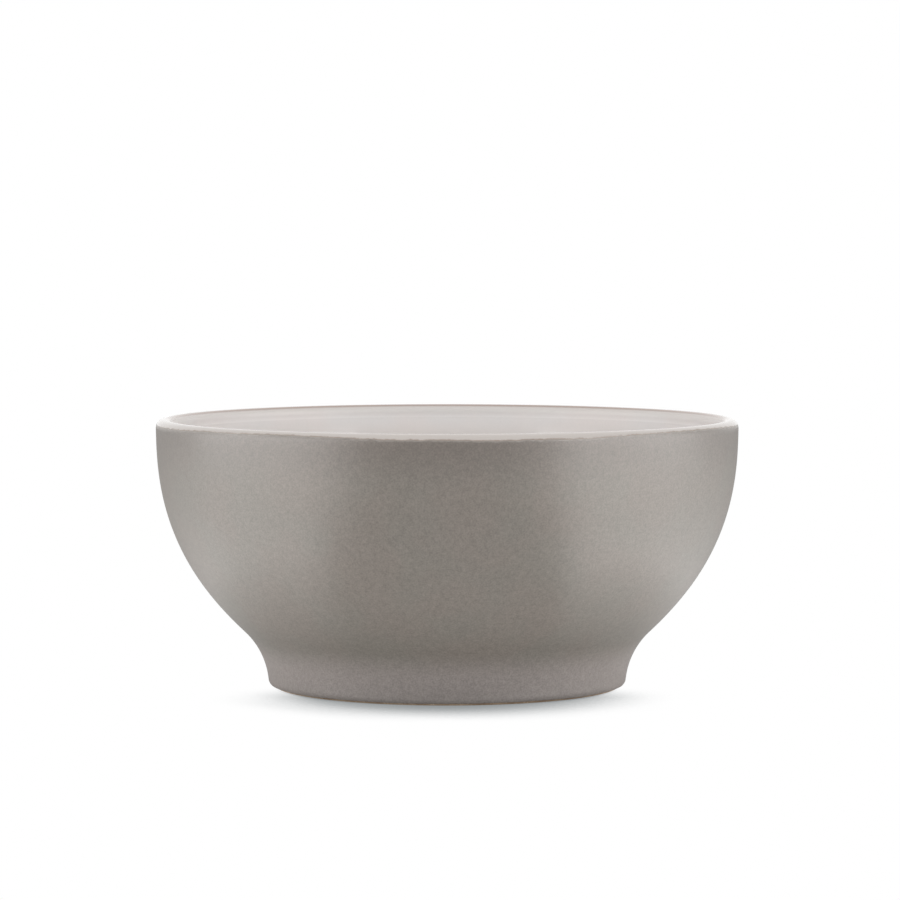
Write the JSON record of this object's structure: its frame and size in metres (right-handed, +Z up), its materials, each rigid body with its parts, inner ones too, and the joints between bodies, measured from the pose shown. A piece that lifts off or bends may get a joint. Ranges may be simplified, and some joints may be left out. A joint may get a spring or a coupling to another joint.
{
  "type": "latte bowl",
  "caption": "Round stoneware bowl for milky coffee, with an S-curved wall on a drawn-in foot, satin glaze outside and gloss glaze inside and over the lip.",
  "frame": {"origin": "middle of the foot's face, on the surface that the bowl stands on", "axes": "+Z up along the bowl's axis; the picture looks along +Y with +X to the right"},
  "size_m": [0.15, 0.15, 0.0691],
  "materials": {
    "fired_clay": "bare fired stoneware, matte",
    "taupe_satin_glaze": "satin, finely speckled",
    "pale_gloss_glaze": "gloss",
    "taupe_base_glaze": "satin"
  },
  "bodies": {
    "root": {"stoneware_body": "fired_clay", "outside_glaze": "taupe_satin_glaze", "inside_glaze": "pale_gloss_glaze", "base_glaze": "taupe_base_glaze"}
  },
  "joints": []
}
